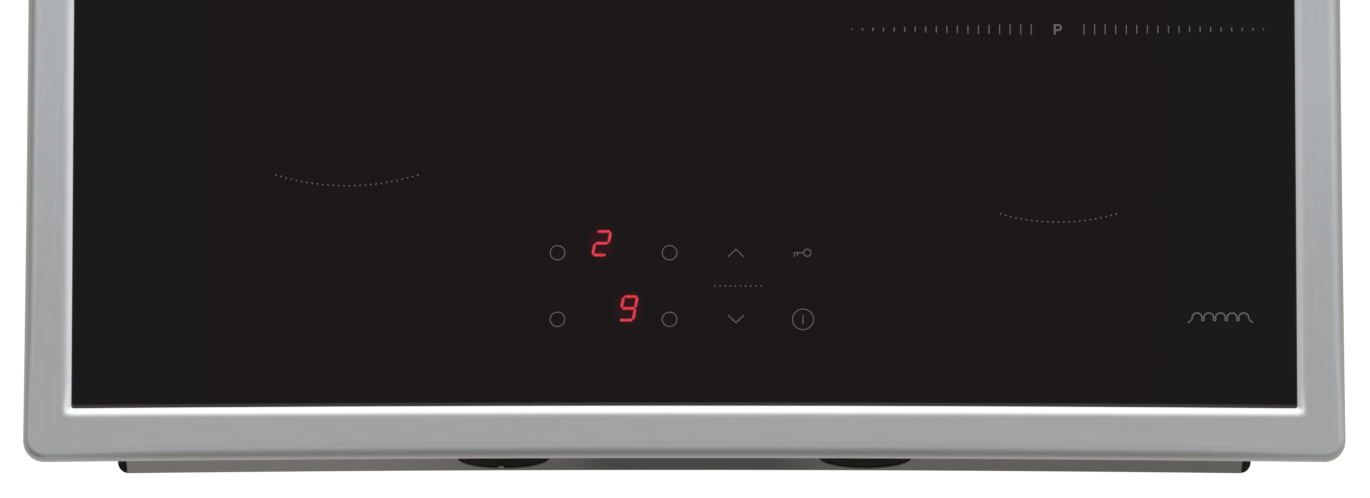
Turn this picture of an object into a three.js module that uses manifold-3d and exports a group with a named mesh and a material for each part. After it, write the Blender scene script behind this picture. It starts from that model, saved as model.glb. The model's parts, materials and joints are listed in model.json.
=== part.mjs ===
// Built-in electric induction cooktop, 60 cm wide, with a pressed metal surround.
// Millimetres, +Z up, X across the front, the front edge faces -Y, the origin is under the middle.
import * as THREE from 'three';
import { mergeVertices } from 'three/addons/utils/BufferGeometryUtils.js';
import Module from 'manifold-3d';

const wasm = await Module();
wasm.setup();

// ---------------------------------------------------------------- driving dimensions
const GAP = 0.3; // space left between touching pieces

const FRAME_WIDTH = 583; // surround, corner to corner
const FRAME_DEPTH = 513;
const WORKTOP_Z = 51; // the surround rests on the worktop here
const FRAME_RISE = 6; // surround above the worktop
const FRAME_CORNER = 9.4; // plan radius of the outer corners
const FRAME_ROUND = 4; // fold from the flat top into the skirt
const SHEET = 1; // thickness of the surround's sheet
const FRAME_SIDE_BOW = 1; // each side is drawn in a little at its middle
const FRAME_FRONT_BOW = 1.5;
const LIP_HALF_WIDTH = 270.4; // inner lip of the surround, where the glass shows
const LIP_HALF_DEPTH = 232.8;
const LIP_CORNER = 1.2;
const LIP_FRONT_BOW = 0.9;
const SLOPE_WIDTH = 4.2; // slope from the flat top down to the lip
const LIP_BAND = 7; // how far the coined band reaches outside the lip

const GLASS_THICKNESS = 4;
const GLASS_TOP = 55;
const GLASS_COVERED = 7; // width of glass hidden under the surround
const GLASS_CORNER = 6;

const TRAY_WIDTH = 502;
const TRAY_DEPTH = 490;
const TRAY_SHIFT = -4.35; // the tray sits a little forward under the surround
const TRAY_TOP = 50.4;
const TRAY_CORNER = 5;
const TRAY_BOW = 1.5;
const WALL = 2.5;
const FLOOR_Z = 1.5; // underside of the floor; the rim and the pads reach down to 0
const FLOOR_TOP = FLOOR_Z + WALL;
const RAIL_REACH = 20; // side rails that carry the glass
const RAIL_LENGTH = 430;
const RAIL_SHEET = 1.5;
const PAD_WIDTH = 60; // moulded pads under the floor
const PAD_DEPTH = 30;
const POST_RADIUS = 5; // posts that carry the coil plate
const SCREW_HOLE = 1.6; // radius

const PLATE_HALF_WIDTH = 246.5; // metal front plate
const PLATE_THICKNESS = 1;
const PLATE_TOP = 49;
const VENT_X = 80;
const VENT_Z = 25;
const VENT_RADIUS = 20.4;
const VENT_SETBACK = 1.6; // the tray's openings are a little larger than the plate's

const FAN_X = 80;
const FAN_Y = 165;
const FAN_SIZE = 90;
const FAN_HEIGHT = 27;
const ROTOR_RADIUS = 35;
const BLADES = 13;

const BOARD_WIDTH = 216;
const BOARD_DEPTH = 226;
const BOARD_X = 128;
const BOARD_Y = 5;
const BOARD_Z = 10;
const BOARD_THICKNESS = 1.6;
const BOARD_TOP = BOARD_Z + BOARD_THICKNESS;

const COIL_PLATE_Z = 34;
const COIL_PLATE_THICKNESS = 1.5;
const ZONES = [
  { name: 'front_left', x: -149.4, y: -29, radius: 97 },
  { name: 'rear_left', x: -149.4, y: 155, radius: 65 },
  { name: 'front_right', x: 165, y: -60.8, radius: 82 },
  { name: 'rear_right', x: 165, y: 125.2, radius: 82 },
];
const FORMER_Z = COIL_PLATE_Z + COIL_PLATE_THICKNESS + GAP;
const FORMER_THICKNESS = 4.2;
const WINDING_THICKNESS = 6;
const WINDING_INNER = 20;
const SENSOR_RADIUS = 9;

const CONTROL_Y = -175; // middle of the touch controls
const CONTROL_WIDTH = 196;
const CONTROL_DEPTH = 76;
const CONTROL_Z = 40;
const CONTROL_BOARD_Z = 45;
const DISPLAY_X = [-37.1, -25.2];
const DISPLAY_Y = [-157, -186.6];

const CLIP_Y = [-155, 145];
const CLIP_WIDTH = 18;
const CLIP_PIVOT_X = 254.8;
const CLIP_PIVOT_Z = 13;
const CLIP_ROLL = 2.2;

const INLET_X = -190; // mains entry in the rear wall
const INLET_Z = 24;
const INLET_BORE = 5;
const GLAND_NECK = 8; // radius where the gland passes the wall
const GLAND_FLANGE = 11;
const GLAND_NUT = 12;
const GLAND_INSIDE = 5.5; // length of the flange inside the wall

const CUT_OVER = 5; // how far a cutting body runs past the piece that it cuts
const LONG_SEGMENTS = 4;
const ROUND_SEGMENTS = 24;

// ---------------------------------------------------------------- finishes
function finish(color, roughness, metalness) {
  return new THREE.MeshStandardMaterial({ color, roughness, metalness });
}

const BLACK_GLASS = finish(0x141314, 0.05, 0);
const SATIN_STEEL = finish(0xa3a5a8, 0.34, 1);
const GALVANISED = finish(0x8b8c8d, 0.5, 1);
const BLACK_PLASTIC = finish(0x1b1b1c, 0.6, 0);
const SILICONE = finish(0x2a2a2b, 0.8, 0);
const FOAM = finish(0x3a3b3c, 0.95, 0);
const SPRING_STEEL = finish(0x9a9da0, 0.35, 1);
const CIRCUIT_GREEN = finish(0x1f5a3a, 0.5, 0);
const ALUMINIUM = finish(0xb9bcbf, 0.42, 1);
const COPPER = finish(0xa8562c, 0.4, 1);
const GREY_PLASTIC = finish(0x6d6f70, 0.6, 0);
const WHITE_PLASTIC = finish(0xd8d8d2, 0.5, 0);
const CAPACITOR_BLUE = finish(0x2c4a7a, 0.45, 0);
const DISPLAY_BLACK = finish(0x101011, 0.3, 0);

// ---------------------------------------------------------------- solids
function toSolid(geometry) {
  const bare = geometry.clone();
  bare.deleteAttribute('normal');
  bare.deleteAttribute('uv');
  const merged = mergeVertices(bare, 1e-4);
  const vertProperties = new Float32Array(merged.attributes.position.array);
  const triVerts = new Uint32Array(merged.index.array);
  return new wasm.Manifold(new wasm.Mesh({ numProp: 3, vertProperties, triVerts }));
}

function toGeometry(solid) {
  const mesh = solid.getMesh();
  const geometry = new THREE.BufferGeometry();
  geometry.setAttribute('position', new THREE.BufferAttribute(mesh.vertProperties, 3));
  geometry.setIndex(new THREE.BufferAttribute(mesh.triVerts, 1));
  geometry.computeVertexNormals();
  return geometry;
}

function join(...geometries) {
  return toGeometry(geometries.map(toSolid).reduce((whole, next) => whole.add(next)));
}

function cut(geometry, ...tools) {
  const start = toSolid(geometry);
  return toGeometry(tools.map(toSolid).reduce((whole, tool) => whole.subtract(tool), start));
}

// ---------------------------------------------------------------- shapes
function box(x0, x1, y0, y1, z0, z1) {
  const geometry = new THREE.BoxGeometry(x1 - x0, y1 - y0, z1 - z0);
  return geometry.translate((x0 + x1) / 2, (y0 + y1) / 2, (z0 + z1) / 2);
}

function slab(shape, z0, z1, curveSegments = LONG_SEGMENTS) {
  const options = { depth: z1 - z0, bevelEnabled: false, curveSegments };
  return new THREE.ExtrudeGeometry(shape, options).translate(0, 0, z0);
}

// A rectangle with round corners whose sides are drawn in at their middles.
function bowedOutline(halfWidth, halfDepth, corner, sideBow, frontBow, backBow = frontBow) {
  const flatX = halfWidth - corner;
  const flatY = halfDepth - corner;
  const quarter = Math.PI / 2;
  const shape = new THREE.Shape();
  shape.moveTo(-flatX, -halfDepth);
  shape.quadraticCurveTo(0, -halfDepth + 2 * frontBow, flatX, -halfDepth);
  shape.absarc(flatX, -flatY, corner, -quarter, 0);
  shape.quadraticCurveTo(halfWidth - 2 * sideBow, 0, halfWidth, flatY);
  shape.absarc(flatX, flatY, corner, 0, quarter);
  shape.quadraticCurveTo(0, halfDepth - 2 * backBow, -flatX, halfDepth);
  shape.absarc(-flatX, flatY, corner, quarter, 2 * quarter);
  shape.quadraticCurveTo(-halfWidth + 2 * sideBow, 0, -halfWidth, -flatY);
  shape.absarc(-flatX, -flatY, corner, 2 * quarter, 3 * quarter);
  return shape;
}

function roundedOutline(halfWidth, halfDepth, corner) {
  const shape = new THREE.Shape();
  const flatX = halfWidth - corner;
  const flatY = halfDepth - corner;
  const quarter = Math.PI / 2;
  shape.absarc(flatX, -flatY, corner, -quarter, 0);
  shape.absarc(flatX, flatY, corner, 0, quarter);
  shape.absarc(-flatX, flatY, corner, quarter, 2 * quarter);
  shape.absarc(-flatX, -flatY, corner, 2 * quarter, 3 * quarter);
  return shape;
}

function roundedBlock(width, depth, height, corner) {
  return slab(roundedOutline(width / 2, depth / 2, corner), 0, height, 1);
}

// A slab whose edges swell outwards from the outline by `size` over `rise` at each end.
function bevelledSlab(shape, z0, z1, size, rise, bevelSegments) {
  const geometry = new THREE.ExtrudeGeometry(shape, {
    depth: z1 - z0 - 2 * rise,
    bevelEnabled: true,
    bevelSize: size,
    bevelThickness: rise,
    bevelSegments,
    curveSegments: LONG_SEGMENTS,
  });
  return geometry.translate(0, 0, z0 + rise);
}

function ring(outer, inner, z0, z1) {
  outer.holes.push(inner);
  return slab(outer, z0, z1);
}

// A round bar or disc along Z.
function disc(radius, z0, z1, segments = ROUND_SEGMENTS) {
  const geometry = new THREE.CylinderGeometry(radius, radius, z1 - z0, segments);
  return geometry.rotateX(Math.PI / 2).translate(0, 0, (z0 + z1) / 2);
}

// A round bar along Y.
function crossBar(radius, y0, y1, segments = ROUND_SEGMENTS) {
  const geometry = new THREE.CylinderGeometry(radius, radius, y1 - y0, segments);
  return geometry.translate(0, (y0 + y1) / 2, 0);
}

// A turned piece about Z from pairs of radius and height.
function turned(pairs, segments = ROUND_SEGMENTS) {
  const points = pairs.map(([radius, height]) => new THREE.Vector2(radius, height));
  return new THREE.LatheGeometry(points, segments).rotateX(Math.PI / 2);
}

// A bent strip of even thickness that follows a curve in its plane.
function stripOutline(curve, thickness, steps) {
  const left = [];
  const right = [];
  for (let i = 0; i <= steps; i += 1) {
    const point = curve.getPoint(i / steps);
    const tangent = curve.getTangent(i / steps);
    const normal = new THREE.Vector2(-tangent.y, tangent.x).multiplyScalar(thickness / 2);
    left.push(point.clone().add(normal));
    right.unshift(point.clone().sub(normal));
  }
  return new THREE.Shape([...left, ...right]);
}

// ---------------------------------------------------------------- assembly
const cooktop = new THREE.Group();

function place(name, geometry, material, x = 0, y = 0, z = 0) {
  const mesh = new THREE.Mesh(geometry, material.clone());
  mesh.name = name;
  mesh.position.set(x, y, z);
  cooktop.add(mesh);
  return mesh;
}

// ---------------------------------------------------------------- glass, surround and seals
function frameShell(inset, top) {
  const round = FRAME_ROUND - inset;
  const shape = bowedOutline(
    FRAME_WIDTH / 2 - FRAME_ROUND,
    FRAME_DEPTH / 2 - FRAME_ROUND,
    FRAME_CORNER - FRAME_ROUND,
    FRAME_SIDE_BOW,
    FRAME_FRONT_BOW,
  );
  const bottom = WORKTOP_Z - 2 * FRAME_ROUND;
  return bevelledSlab(shape, bottom, top, round, round, 3);
}

function surroundFrame() {
  const top = WORKTOP_Z + FRAME_RISE;
  const lipUnder = GLASS_TOP + GAP;
  const lip = () => bowedOutline(LIP_HALF_WIDTH, LIP_HALF_DEPTH, LIP_CORNER, 0, LIP_FRONT_BOW);
  const bandWidth = LIP_HALF_WIDTH + LIP_BAND;
  const bandDepth = LIP_HALF_DEPTH + LIP_BAND;
  const band = slab(roundedOutline(bandWidth, bandDepth, LIP_BAND), lipUnder, top - SHEET / 2);
  const opening = bevelledSlab(
    lip(),
    lipUnder,
    top + 2 * CUT_OVER,
    SLOPE_WIDTH,
    top - lipUnder,
    1,
  );
  const below = box(-FRAME_WIDTH, FRAME_WIDTH, -FRAME_DEPTH, FRAME_DEPTH, 0, WORKTOP_Z);
  const shell = cut(frameShell(0, top), frameShell(SHEET, top - SHEET), below);
  const through = slab(lip(), lipUnder - CUT_OVER, lipUnder + SHEET / 2);
  return cut(join(shell, band), opening, through);
}

function glassTop() {
  // The face inside the lip and the covered edge are two bodies, joined into one sheet.
  const bottom = GLASS_TOP - GLASS_THICKNESS;
  const coveredWidth = LIP_HALF_WIDTH + GLASS_COVERED;
  const coveredDepth = LIP_HALF_DEPTH + GLASS_COVERED;
  const clearWidth = LIP_HALF_WIDTH - LIP_CORNER;
  const clearDepth = LIP_HALF_DEPTH - LIP_CORNER - LIP_FRONT_BOW;
  const edge = slab(roundedOutline(coveredWidth, coveredDepth, GLASS_CORNER), bottom, GLASS_TOP, 3);
  const face = box(-clearWidth, clearWidth, -clearDepth, clearDepth, bottom, GLASS_TOP);
  return join(cut(edge, face), face);
}

function glassBond() {
  const inner = GLASS_COVERED + GAP;
  const width = 4;
  const outline = (grow) =>
    roundedOutline(LIP_HALF_WIDTH + grow, LIP_HALF_DEPTH + grow, GLASS_CORNER);
  return ring(outline(inner + width), outline(inner), WORKTOP_Z + GAP, GLASS_TOP + GAP);
}

function worktopSeal() {
  const outer = 3.3; // inside the surround's outer edge
  const width = 3.5;
  const height = 2.6;
  const outline = (inset) =>
    roundedOutline(FRAME_WIDTH / 2 - inset, FRAME_DEPTH / 2 - inset, FRAME_CORNER - outer);
  return ring(outline(outer), outline(outer + width), WORKTOP_Z, WORKTOP_Z + height);
}

place('glass_top', glassTop(), BLACK_GLASS);
place('surround_frame', surroundFrame(), SATIN_STEEL);
place('glass_bond', glassBond(), SILICONE);
place('worktop_seal', worktopSeal(), FOAM);

// ---------------------------------------------------------------- tray
const TRAY_FRONT = TRAY_SHIFT - TRAY_DEPTH / 2;
const TRAY_BACK = TRAY_SHIFT + TRAY_DEPTH / 2;
const PLATE_RECESS = PLATE_THICKNESS + GAP;

// A strip along the tray's bowed front, `inset` behind its face.
function frontStrip(halfWidth, inset, thickness, z0, z1) {
  const near = TRAY_FRONT + inset;
  const far = near + thickness;
  const shape = new THREE.Shape();
  shape.moveTo(-halfWidth, near);
  shape.quadraticCurveTo(0, near + 2 * TRAY_BOW, halfWidth, near);
  shape.lineTo(halfWidth, far);
  shape.quadraticCurveTo(0, far + 2 * TRAY_BOW, -halfWidth, far);
  return slab(shape, z0, z1);
}

function ventHoles(radius) {
  return [-VENT_X, VENT_X].map((x) =>
    crossBar(radius, TRAY_FRONT - CUT_OVER, TRAY_FRONT + 2 * CUT_OVER).translate(x, 0, VENT_Z),
  );
}

function fanGrille(x) {
  const pitch = 9;
  const slotWidth = 5;
  const reach = 31;
  const slots = [];
  for (let row = -3; row <= 3; row += 1) {
    const half = Math.sqrt(reach ** 2 - (row * pitch) ** 2);
    const y = FAN_Y + row * pitch;
    slots.push(box(x - half, x + half, y - slotWidth / 2, y + slotWidth / 2, 0, FLOOR_TOP + 1));
  }
  return slots;
}

function floorSlots(side) {
  const count = 8;
  const pitch = 20;
  const half = 3;
  const slots = [];
  for (let i = 0; i < count; i += 1) {
    const x = side * (60 + i * pitch);
    slots.push(box(x - half, x + half, -175, -125, 0, FLOOR_TOP + 1));
  }
  return slots;
}

const PADS = [-205, 205].flatMap((x) => [-205, 150].map((y) => [x, y]));
const POSTS = [-235, 0, 235].flatMap((x) => [-215, 223].map((y) => [x, y]));
const TERMINAL = { x: -190, y: 206, halfWidth: 38, halfDepth: 24, ledge: 6 };

function clipSeat(y) {
  const half = CLIP_WIDTH / 2;
  const cheek = 3.5;
  const room = half + 0.4;
  const inner = TRAY_WIDTH / 2 - 1;
  const outer = CLIP_PIVOT_X + 4.7;
  const seat = box(inner, outer, y - half - cheek, y + half + cheek, 6, CLIP_PIVOT_Z + 4);
  const groove = crossBar(CLIP_ROLL + 0.5, y - room, y + room, 12);
  groove.translate(CLIP_PIVOT_X, 0, CLIP_PIVOT_Z);
  const mouth = box(CLIP_PIVOT_X - CLIP_ROLL - 0.5, outer + 1, y - room, y + room, CLIP_PIVOT_Z, 20);
  return cut(seat, groove, mouth);
}

function trayBase() {
  const halfWidth = TRAY_WIDTH / 2;
  const halfDepth = TRAY_DEPTH / 2;
  const frontWall = WALL + PLATE_RECESS;
  const outline = bowedOutline(halfWidth, halfDepth, TRAY_CORNER, 0, TRAY_BOW, 0);
  const cavityOutline = bowedOutline(halfWidth - WALL, halfDepth - frontWall, 3, 0, TRAY_BOW, 0);
  const shell = slab(outline, 0, TRAY_TOP).translate(0, TRAY_SHIFT, 0);
  const cavity = slab(cavityOutline, FLOOR_TOP, TRAY_TOP + CUT_OVER).translate(0, TRAY_SHIFT, 0);
  const rim = 6; // width of the rim that the tray stands on
  const underOutline = roundedOutline(halfWidth - rim, halfDepth - rim - TRAY_BOW * 2, 4);
  const under = slab(underOutline, -CUT_OVER, FLOOR_Z).translate(0, TRAY_SHIFT, 0);
  const rooted = FLOOR_Z + 0.5; // how high a foot reaches into the floor
  const pads = PADS.map(([x, y]) =>
    roundedBlock(PAD_WIDTH, PAD_DEPTH, rooted, TRAY_CORNER).translate(x, y, 0),
  );
  const posts = POSTS.map(([x, y]) =>
    disc(POST_RADIUS, rooted, COIL_PLATE_Z - GAP, 8).translate(x, y, 0),
  );
  const seats = CLIP_Y.flatMap((y) => {
    const right = clipSeat(y);
    return [right, right.clone().rotateZ(Math.PI).translate(0, 2 * y, 0)];
  });
  const { x, y, halfWidth: tw, halfDepth: td, ledge } = TERMINAL;
  const rebate = box(x - tw, x + tw, y - td, y + td, 0, FLOOR_Z + 1.1);
  const hatch = box(x - tw + ledge, x + tw - ledge, y - td + ledge, y + td - ledge, 0, FLOOR_TOP + 1);
  const screwHoles = terminalScrewPlaces().map(([sx, sy]) =>
    disc(SCREW_HOLE, 0, FLOOR_TOP + 1, 12).translate(sx, sy, 0),
  );
  const recessDepth = CUT_OVER + PLATE_RECESS;
  const above = TRAY_TOP + CUT_OVER;
  const recess = frontStrip(PLATE_HALF_WIDTH + GAP, -CUT_OVER, recessDepth, -CUT_OVER, above);
  const inlet = crossBar(GLAND_NECK + GAP, TRAY_BACK - 2 * CUT_OVER, TRAY_BACK + CUT_OVER, 20);
  inlet.translate(INLET_X, 0, INLET_Z);
  const hollowed = join(cut(shell, cavity, under), ...pads, ...posts, ...seats);
  return cut(
    hollowed,
    recess,
    rebate,
    hatch,
    inlet,
    ...screwHoles,
    ...ventHoles(VENT_RADIUS + VENT_SETBACK),
    ...fanGrille(-FAN_X),
    ...fanGrille(FAN_X),
    ...floorSlots(-1),
    ...floorSlots(1),
  );
}

function frontPlate() {
  const plate = frontStrip(PLATE_HALF_WIDTH, 0, PLATE_THICKNESS, GAP, PLATE_TOP);
  const holed = cut(plate, ...ventHoles(VENT_RADIUS));
  // A small tab stands up in the lower edge of the left opening.
  const bow = TRAY_BOW * (1 - (VENT_X / PLATE_HALF_WIDTH) ** 2);
  const face = TRAY_FRONT + bow;
  const bottom = VENT_Z - VENT_RADIUS;
  const tab = box(-VENT_X - 2.4, -VENT_X + 0.1, face + 0.1, face + 0.9, bottom - 1, bottom + 3.8);
  return join(holed, tab);
}

function terminalScrewPlaces() {
  const { x, y, halfWidth, ledge } = TERMINAL;
  const offset = halfWidth - ledge / 2;
  return [[x - offset, y], [x + offset, y]];
}

function terminalCover() {
  const { x, y, halfWidth, halfDepth } = TERMINAL;
  const hw = halfWidth - GAP;
  const hd = halfDepth - GAP;
  const plate = box(x - hw, x + hw, y - hd, y + hd, FLOOR_Z - 0.5, FLOOR_Z + 0.8);
  const holes = terminalScrewPlaces().map(([sx, sy]) =>
    disc(SCREW_HOLE, 0, CUT_OVER, 12).translate(sx, sy, 0),
  );
  return cut(plate, ...holes);
}

function terminalScrew() {
  const head = FLOOR_Z - 0.8;
  return turned([[0, head - 0.5], [1.9, head - 0.5], [2.3, head], [1.3, head], [1.3, 9], [0, 9]], 10);
}

function terminalBlock() {
  const body = roundedBlock(60, 20, 16, 1.5);
  const wells = [-24, -12, 0, 12, 24].flatMap((x) => [
    disc(3, 10, 20, 8).translate(x, 0, 0),
    box(x - 3, x + 3, 5, 12, 3, 8),
  ]);
  return cut(body, ...wells);
}

// The gland's own axis is Z here; it is laid along Y, with its nose out at the back.
function cableGland() {
  const innerFace = GLAND_INSIDE;
  const outerFace = innerFace + WALL + PLATE_RECESS + GAP + GAP;
  const profile = [
    [INLET_BORE, 0],
    [GLAND_FLANGE, 0],
    [GLAND_FLANGE, innerFace - GAP],
    [GLAND_NECK, innerFace - GAP],
    [GLAND_NECK, outerFace],
    [GLAND_NUT, outerFace],
    [GLAND_NUT, outerFace + 5],
    [GLAND_NUT - 2.5, outerFace + 6],
    [GLAND_NECK, outerFace + 13],
    [INLET_BORE, outerFace + 14],
    [INLET_BORE, 0],
  ];
  return turned(profile, 20).rotateX(-Math.PI / 2);
}

// An angle along each side of the tray: the shelf carries the glass, the leg is fixed to the wall.
function sideRail(side) {
  const near = TRAY_WIDTH / 2 + GAP;
  const far = TRAY_WIDTH / 2 + RAIL_REACH;
  const legFoot = TRAY_TOP - 16;
  const half = RAIL_LENGTH / 2;
  const section = new THREE.Shape();
  section.moveTo(near, legFoot);
  section.lineTo(near + RAIL_SHEET, legFoot);
  section.lineTo(near + RAIL_SHEET, TRAY_TOP - RAIL_SHEET);
  section.lineTo(far, TRAY_TOP - RAIL_SHEET);
  section.lineTo(far, TRAY_TOP);
  section.lineTo(near, TRAY_TOP);
  const rail = slab(section, -half, half).rotateX(Math.PI / 2);
  return side > 0 ? rail : rail.rotateZ(Math.PI);
}

place('tray_base', trayBase(), BLACK_PLASTIC);
[['left', -1], ['right', 1]].forEach(([sideName, side]) => {
  place(`side_rail_${sideName}`, sideRail(side), GALVANISED, 0, TRAY_SHIFT, 0);
});
place('front_plate', frontPlate(), GALVANISED);
place('terminal_cover', terminalCover(), BLACK_PLASTIC);
terminalScrewPlaces().forEach(([x, y], i) => {
  place(`terminal_cover_screw_${i + 1}`, terminalScrew(), SPRING_STEEL, x, y, 0);
});
place('terminal_block', terminalBlock(), WHITE_PLASTIC, INLET_X, 210, FLOOR_TOP + GAP);
const GLAND_Y = TRAY_BACK - WALL - PLATE_RECESS - GLAND_INSIDE;
place('cable_gland', cableGland(), BLACK_PLASTIC, INLET_X, GLAND_Y, INLET_Z);

// ---------------------------------------------------------------- side spring clips
function springClip() {
  // Drawn in the XZ plane about the pivot, for the right-hand side.
  const curve = new THREE.SplineCurve([
    new THREE.Vector2(0, 0),
    new THREE.Vector2(8, 8),
    new THREE.Vector2(20, 17),
    new THREE.Vector2(26, 24),
    new THREE.Vector2(22, 31),
  ]);
  const strip = slab(stripOutline(curve, 1, 9), -CLIP_WIDTH / 2, CLIP_WIDTH / 2);
  const roll = disc(CLIP_ROLL, -CLIP_WIDTH / 2, CLIP_WIDTH / 2, 12);
  return join(strip, roll).rotateX(Math.PI / 2);
}

[['left', -1], ['right', 1]].forEach(([sideName, side]) => {
  [['front', CLIP_Y[0]], ['rear', CLIP_Y[1]]].forEach(([endName, y]) => {
    const name = `spring_clip_${sideName}_${endName}`;
    const clip = place(name, springClip(), SPRING_STEEL, side * CLIP_PIVOT_X, y, CLIP_PIVOT_Z);
    clip.rotation.z = side > 0 ? 0 : Math.PI;
  });
});

// ---------------------------------------------------------------- power electronics
function heatSink() {
  const halfWidth = 25;
  const height = 19;
  const base = 4;
  const fin = 1.6;
  const fins = 7;
  const shape = new THREE.Shape();
  shape.moveTo(-halfWidth, 0);
  shape.lineTo(halfWidth, 0);
  const step = (2 * halfWidth - fin) / (fins - 1);
  for (let i = fins - 1; i >= 0; i -= 1) {
    const x = -halfWidth + i * step;
    shape.lineTo(x + fin, i === fins - 1 ? height : base);
    if (i < fins - 1) {
      shape.lineTo(x + fin, height);
    }
    shape.lineTo(x, height);
    if (i > 0) {
      shape.lineTo(x, base);
    }
  }
  const length = 168;
  return slab(shape, -length / 2, length / 2).rotateX(Math.PI / 2);
}

function toroid(radius, thickness) {
  const circle = [];
  const sides = 6;
  for (let i = 0; i <= sides; i += 1) {
    const angle = (i / sides) * 2 * Math.PI;
    circle.push([radius + thickness * Math.cos(angle), thickness * Math.sin(angle)]);
  }
  return turned(circle, 18);
}

[['left', -1], ['right', 1]].forEach(([sideName, side]) => {
  const z = BOARD_TOP + GAP;
  const halfWidth = BOARD_WIDTH / 2;
  const halfDepth = BOARD_DEPTH / 2;
  const board = box(-halfWidth, halfWidth, -halfDepth, halfDepth, 0, BOARD_THICKNESS);
  place(`power_board_${sideName}`, board, CIRCUIT_GREEN, side * BOARD_X, BOARD_Y, BOARD_Z);
  place(`heat_sink_${sideName}`, heatSink(), ALUMINIUM, side * FAN_X, 24, z);
  [['front', -20], ['rear', 45]].forEach(([endName, y]) => {
    const name = `power_transistor_${sideName}_${endName}`;
    place(name, roundedBlock(16, 21, 5, 1), DISPLAY_BLACK, side * 118, y, z);
  });
  place(`bridge_rectifier_${sideName}`, roundedBlock(22, 30, 7, 2), DISPLAY_BLACK, side * 38, 60, z);
  [['front', -70], ['rear', -10]].forEach(([endName, y]) => {
    const name = `capacitor_${sideName}_${endName}`;
    place(name, roundedBlock(44, 24, 20, 3), CAPACITOR_BLUE, side * 172, y, z);
  });
  place(`filter_choke_${sideName}`, toroid(17, 8), COPPER, side * 180, 60, z + 8);
});

// ---------------------------------------------------------------- cooling fans
const FAN_BASE = FLOOR_TOP + GAP;
const HUB_RADIUS = 12;
const ROTOR_FLOOR = 6; // above the fan's base

function fanHousing() {
  const outer = roundedBlock(FAN_SIZE, FAN_SIZE, FAN_HEIGHT, 8);
  const room = disc(ROTOR_RADIUS + 4, 2, FAN_HEIGHT - 2, 28);
  const outlet = box(-30, 39, -FAN_SIZE, 0, 2, FAN_HEIGHT - 2);
  const mouth = disc(29, -1, 3);
  const hub = disc(HUB_RADIUS, 0, 3, 20);
  const arms = [0, 1, 2].map((i) =>
    box(0, 32, -2, 2, 0, 2).rotateZ((i * 2 * Math.PI) / 3),
  );
  return join(cut(outer, room, outlet, mouth), hub, ...arms);
}

function fanMotor() {
  return turned([[0, 0], [HUB_RADIUS - 1, 0], [HUB_RADIUS - 1, 11], [0, 11]], 20);
}

function fanRotor() {
  const cup = turned([[0, 14], [13, 14], [13, 0], [15, 0], [15, 16], [0, 16]], 20);
  const top = 18;
  const plate = turned([[0, 14.5], [ROTOR_RADIUS, top - 1.5], [ROTOR_RADIUS, top], [0, 16]], 24);
  const blades = [];
  for (let i = 0; i < BLADES; i += 1) {
    const blade = box(-0.6, 0.6, -6, 6, 0, top - 1);
    blade.rotateZ(0.6).translate(ROTOR_RADIUS - 7, 0, 0).rotateZ((i * 2 * Math.PI) / BLADES);
    blades.push(blade);
  }
  return join(cup, plate, ...blades);
}

[['left', -1], ['right', 1]].forEach(([sideName, side]) => {
  const x = side * FAN_X;
  place(`fan_housing_${sideName}`, fanHousing(), BLACK_PLASTIC, x, FAN_Y, FAN_BASE);
  place(`fan_motor_${sideName}`, fanMotor(), COPPER, x, FAN_Y, FAN_BASE + 3 + GAP);
  place(`fan_rotor_${sideName}`, fanRotor(), GREY_PLASTIC, x, FAN_Y, FAN_BASE + ROTOR_FLOOR - 1);
});

// ---------------------------------------------------------------- coils under the cooking zones
const CABLE_SLOT = { x0: 24, x1: 60, y0: -142, y1: -120 };

function coilPlate() {
  const sheet = slab(roundedOutline(243, 224, 3), 0, COIL_PLATE_THICKNESS, 2);
  const { x0, x1, y0, y1 } = CABLE_SLOT;
  const slot = box(x0, x1, y0 - TRAY_SHIFT, y1 - TRAY_SHIFT, -1, COIL_PLATE_THICKNESS + 1);
  const leads = ZONES.map(({ x, y }) => disc(8, -1, 3, 16).translate(x, y - TRAY_SHIFT, 0));
  return cut(sheet, slot, ...leads);
}

function coilFormer(radius) {
  const top = FORMER_THICKNESS;
  const hub = WINDING_INNER - 1;
  const lip = SENSOR_RADIUS + GAP;
  return turned([
    [lip, 0],
    [radius, 0],
    [radius, top],
    [hub, top],
    [hub, top + WINDING_THICKNESS - 1],
    [lip, top + WINDING_THICKNESS - 1],
    [lip, 0],
  ]);
}

function coilWinding(radius) {
  const outer = radius - 3;
  return turned([
    [WINDING_INNER, 0],
    [outer, 0],
    [outer, WINDING_THICKNESS],
    [WINDING_INNER, WINDING_THICKNESS],
    [WINDING_INNER, 0],
  ]);
}

function zoneSensor() {
  const height = GLASS_TOP - GLASS_THICKNESS - FORMER_Z - 2 * GAP;
  const tip = 3;
  return turned([
    [0, 0],
    [SENSOR_RADIUS, 0],
    [SENSOR_RADIUS, height - tip],
    [tip, height - 1],
    [tip, height],
    [0, height],
  ], 12);
}

place('coil_plate', coilPlate(), ALUMINIUM, 0, TRAY_SHIFT, COIL_PLATE_Z);
ZONES.forEach(({ name, x, y, radius }) => {
  place(`coil_former_${name}`, coilFormer(radius), BLACK_PLASTIC, x, y, FORMER_Z);
  const windingZ = FORMER_Z + FORMER_THICKNESS + GAP;
  place(`coil_winding_${name}`, coilWinding(radius), COPPER, x, y, windingZ);
  place(`zone_sensor_${name}`, zoneSensor(), WHITE_PLASTIC, x, y, FORMER_Z);
});

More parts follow.
